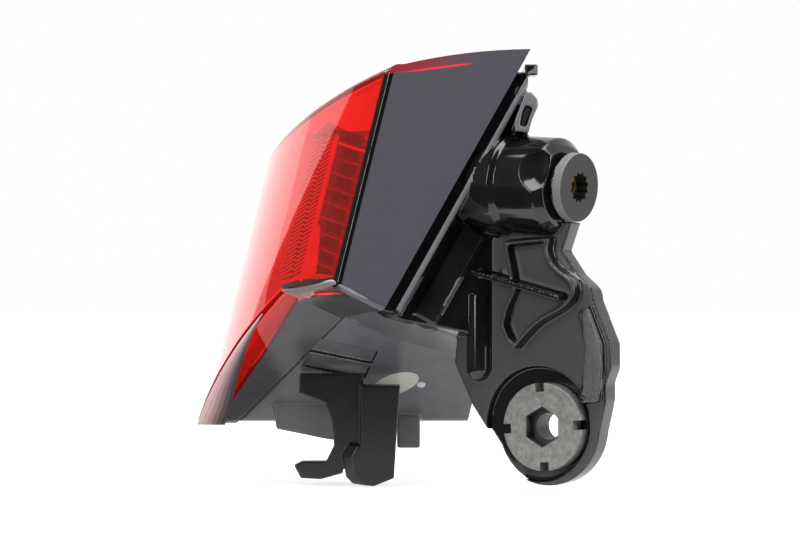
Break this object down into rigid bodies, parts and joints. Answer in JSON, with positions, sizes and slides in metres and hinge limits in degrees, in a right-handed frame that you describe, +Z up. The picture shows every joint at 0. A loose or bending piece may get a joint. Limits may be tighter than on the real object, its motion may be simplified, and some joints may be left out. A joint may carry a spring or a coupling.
{
  "type": "tail light cluster",
  "caption": "Outer rear lamp with a red wrapped lens on a black moulded housing, fixed by a slotted ring adjuster on a lug and a disc adjuster on a boss.",
  "frame": {"origin": "mouth of the bolt bore in the lower adjuster, at the floor of its hexagon socket", "axes": "+Z up, +Y across the lamp from the inboard wall outwards, +X from the lens towards the mounting side"},
  "size_m": [0.1463, 0.118, 0.149],
  "materials": {
    "housing_black": "gloss black",
    "lens_red": "clear red, gloss",
    "lens_dark": "dark grey, semi gloss",
    "border_black": "gloss black",
    "seal_black": "matte black",
    "bezel_dark": "dark, semi gloss",
    "guide_clear": "clear, ribbed",
    "reflector_bright": "metallised",
    "board_green": "solder mask",
    "led_white": "gloss",
    "sink_metal": "satin",
    "screw_steel": "plated",
    "connector_black": "matte",
    "pin_metal": "plated",
    "vent_black": "matte",
    "ring_grey": "mottled grey, satin",
    "disc_dark": "satin",
    "brass": "machined",
    "bracket_black": "satin black",
    "label_white": "matte",
    "paint_white": "matte"
  },
  "bodies": {
    "housing": {"housing": "housing_black", "red_lens": "lens_red", "side_panel": "lens_dark", "lens_skirt": "lens_dark", "lens_border": "border_black", "lens_seal": "seal_black", "inner_bezel": "bezel_dark", "light_guide_near": "guide_clear", "light_guide_far": "guide_clear", "top_reflector": "reflector_bright", "led_board": "board_green", "leds": "led_white", "heat_sink": "sink_metal", "board_screws": "screw_steel", "reflector": "reflector_bright", "connector_socket": "connector_black", "connector_pins": "pin_metal", "vent_cap": "vent_black", "locating_bracket": "bracket_black", "inspection_label": "label_white", "paint_dot": "paint_white"},
    "upper_adjuster": {"upper_adjuster": "disc_dark", "brass_insert": "brass"},
    "lower_adjuster": {"lower_adjuster": "ring_grey"}
  },
  "joints": [
    {"name": "lower_adjuster_turn", "type": "hinge", "parent": "housing", "child": "lower_adjuster", "pos_m": [0, 0, 0], "axis": [-0.5105, -0.8599, 0], "range_deg": [-180, 180]},
    {"name": "upper_adjuster_turn", "type": "hinge", "parent": "housing", "child": "upper_adjuster", "pos_m": [0.00995, -0.00796, 0.0797], "axis": [0.7977, -0.599, -0.0698], "range_deg": [-180, 180]}
  ]
}
